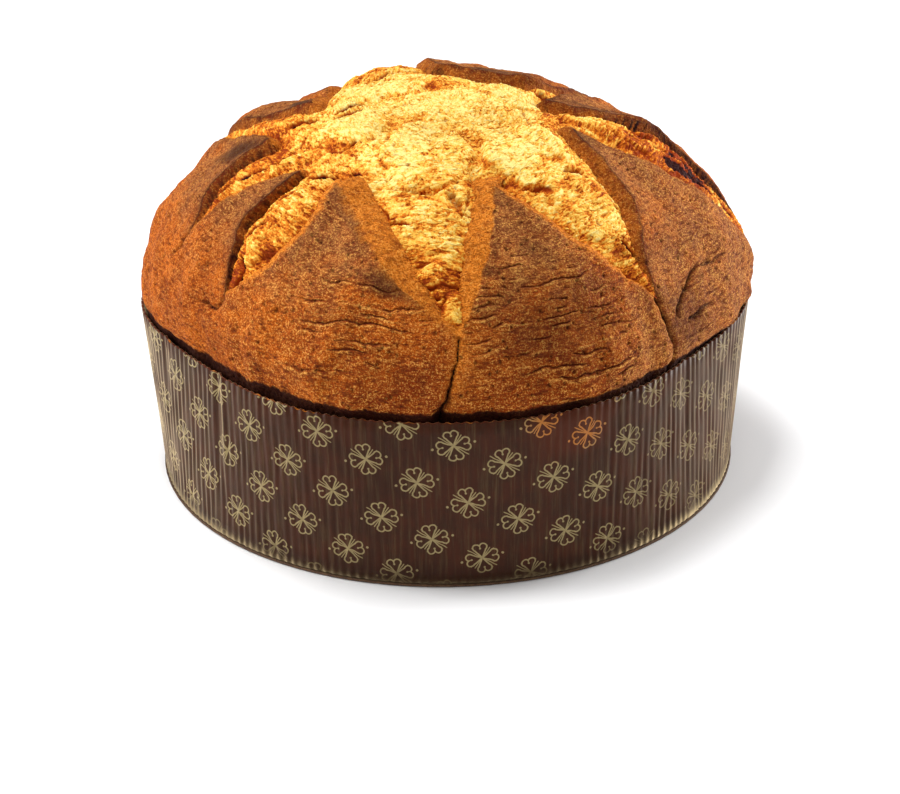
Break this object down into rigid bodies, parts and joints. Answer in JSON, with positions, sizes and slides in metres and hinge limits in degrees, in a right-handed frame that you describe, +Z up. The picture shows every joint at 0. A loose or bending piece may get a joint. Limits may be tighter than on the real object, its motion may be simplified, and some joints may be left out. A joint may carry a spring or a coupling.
{
  "type": "panettone",
  "caption": "Low domed panettone with a star-cut crust opened over torn golden crumb, standing in its fluted printed paper case on a card disc.",
  "frame": {"origin": "centre of the card disc's underside, on the surface that the panettone stands on", "axes": "+Z up through the crown; -Y is the side shown in the picture; +X is to that view's right"},
  "size_m": [0.2188, 0.2112, 0.1377],
  "materials": {
    "baked_crust": "matte baked crust, dark brown petals round an open cream and golden crumb",
    "fluted_paper": "dark brown fluted baking paper with a slight sheen and a pale gold outlined clover print",
    "raw_card": "raw brown card"
  },
  "bodies": {
    "root": {"loaf": "baked_crust", "case_wall": "fluted_paper", "case_base": "raw_card"}
  },
  "joints": []
}
